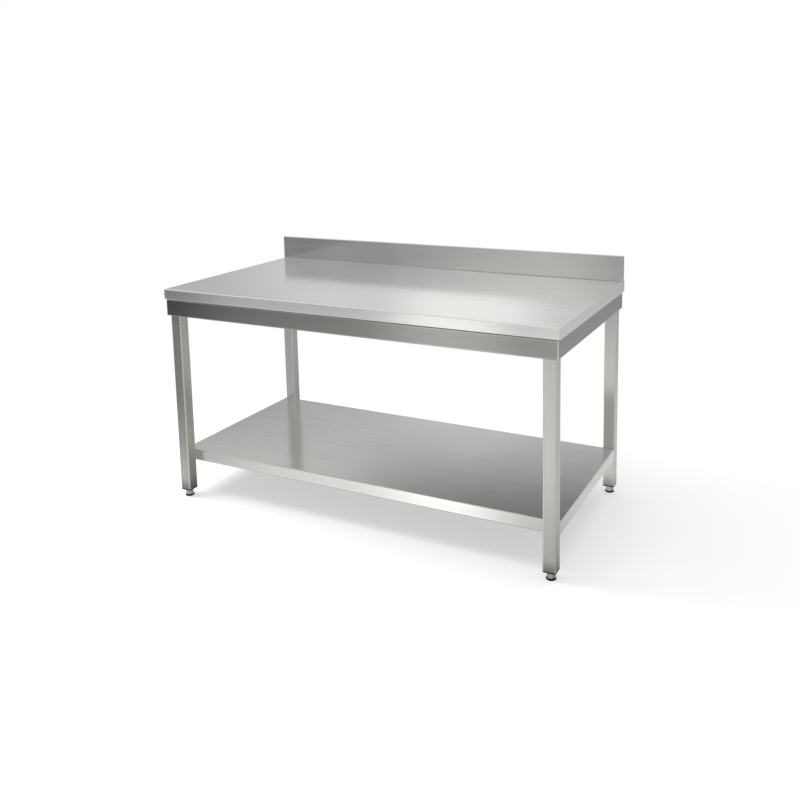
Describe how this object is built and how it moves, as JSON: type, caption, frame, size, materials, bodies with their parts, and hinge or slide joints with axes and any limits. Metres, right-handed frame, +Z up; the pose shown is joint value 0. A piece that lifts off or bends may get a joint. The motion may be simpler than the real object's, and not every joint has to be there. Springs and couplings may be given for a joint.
{
  "type": "stainless work table",
  "caption": "Free-standing stainless work table with a folded worktop, rear upstand, apron frame, square legs, undershelf and screw-adjustable hexagonal feet.",
  "frame": {"origin": "on the floor under the middle of the table's outline", "axes": "+X to the right along the table's length, +Y to the rear, where the upstand is, +Z up"},
  "size_m": [1.6, 0.8, 0.95],
  "materials": {
    "worktop_steel": "satin, brushed along the length",
    "apron_steel": "satin, brushed along each rail",
    "leg_steel": "satin, brushed along the leg",
    "shelf_steel": "satin, brushed along the length",
    "stiffener_steel": "mill finish",
    "socket_steel": "mill finish",
    "foot_steel": "turned and polished",
    "fasteners": "bright",
    "black_plastic": "moulded, matte",
    "core_board": "laminated chipboard"
  },
  "bodies": {
    "table": {"worktop_sheet": "worktop_steel", "upstand_cap_left": "worktop_steel", "upstand_cap_right": "worktop_steel", "rear_closing_strip": "worktop_steel", "core_board": "core_board", "top_stiffener_left": "stiffener_steel", "top_stiffener_middle": "stiffener_steel", "top_stiffener_right": "stiffener_steel", "apron_front": "apron_steel", "apron_right": "apron_steel", "apron_rear": "apron_steel", "apron_left": "apron_steel", "leg_socket_front_left": "socket_steel", "leg_front_left": "leg_steel", "leg_insert_front_left": "black_plastic", "insert_nut_front_left": "fasteners", "leg_socket_front_right": "socket_steel", "leg_front_right": "leg_steel", "leg_insert_front_right": "black_plastic", "insert_nut_front_right": "fasteners", "leg_socket_rear_left": "socket_steel", "leg_rear_left": "leg_steel", "leg_insert_rear_left": "black_plastic", "insert_nut_rear_left": "fasteners", "leg_socket_rear_right": "socket_steel", "leg_rear_right": "leg_steel", "leg_insert_rear_right": "black_plastic", "insert_nut_rear_right": "fasteners", "undershelf_sheet": "shelf_steel", "shelf_stiffener": "stiffener_steel", "shelf_bolts": "fasteners", "shelf_rivet_nuts": "fasteners", "leg_set_screws": "fasteners", "socket_bolts": "fasteners", "socket_nuts": "fasteners", "stiffener_bolts": "fasteners", "stiffener_nuts": "fasteners", "core_screws": "fasteners"},
    "pad_front_left": {"foot_pad_front_left": "black_plastic"},
    "foot_front_left": {"foot_hex_front_left": "foot_steel", "foot_stud_front_left": "foot_steel"},
    "pad_front_right": {"foot_pad_front_right": "black_plastic"},
    "foot_front_right": {"foot_hex_front_right": "foot_steel", "foot_stud_front_right": "foot_steel"},
    "pad_rear_left": {"foot_pad_rear_left": "black_plastic"},
    "foot_rear_left": {"foot_hex_rear_left": "foot_steel", "foot_stud_rear_left": "foot_steel"},
    "pad_rear_right": {"foot_pad_rear_right": "black_plastic"},
    "foot_rear_right": {"foot_hex_rear_right": "foot_steel", "foot_stud_rear_right": "foot_steel"}
  },
  "joints": [
    {"name": "foot_travel_front_left", "type": "slide", "parent": "table", "child": "pad_front_left", "axis": [0, 0, -1], "range_m": [0, 0.025]},
    {"name": "foot_turn_front_left", "type": "hinge", "parent": "pad_front_left", "child": "foot_front_left", "pos_m": [-0.7625, -0.3625, 0], "axis": [0, 0, -1], "range_deg": [0, 6000]},
    {"name": "foot_travel_front_right", "type": "slide", "parent": "table", "child": "pad_front_right", "axis": [0, 0, -1], "range_m": [0, 0.025]},
    {"name": "foot_turn_front_right", "type": "hinge", "parent": "pad_front_right", "child": "foot_front_right", "pos_m": [0.7625, -0.3625, 0], "axis": [0, 0, -1], "range_deg": [0, 6000]},
    {"name": "foot_travel_rear_left", "type": "slide", "parent": "table", "child": "pad_rear_left", "axis": [0, 0, -1], "range_m": [0, 0.025]},
    {"name": "foot_turn_rear_left", "type": "hinge", "parent": "pad_rear_left", "child": "foot_rear_left", "pos_m": [-0.7625, 0.3625, 0], "axis": [0, 0, -1], "range_deg": [0, 6000]},
    {"name": "foot_travel_rear_right", "type": "slide", "parent": "table", "child": "pad_rear_right", "axis": [0, 0, -1], "range_m": [0, 0.025]},
    {"name": "foot_turn_rear_right", "type": "hinge", "parent": "pad_rear_right", "child": "foot_rear_right", "pos_m": [0.7625, 0.3625, 0], "axis": [0, 0, -1], "range_deg": [0, 6000]}
  ],
  "couplings": [
    {"joint": "foot_turn_front_left", "follows": "foot_travel_front_left", "rad_per_m": 4188.8},
    {"joint": "foot_turn_front_right", "follows": "foot_travel_front_right", "rad_per_m": 4188.8},
    {"joint": "foot_turn_rear_left", "follows": "foot_travel_rear_left", "rad_per_m": 4188.8},
    {"joint": "foot_turn_rear_right", "follows": "foot_travel_rear_right", "rad_per_m": 4188.8}
  ]
}
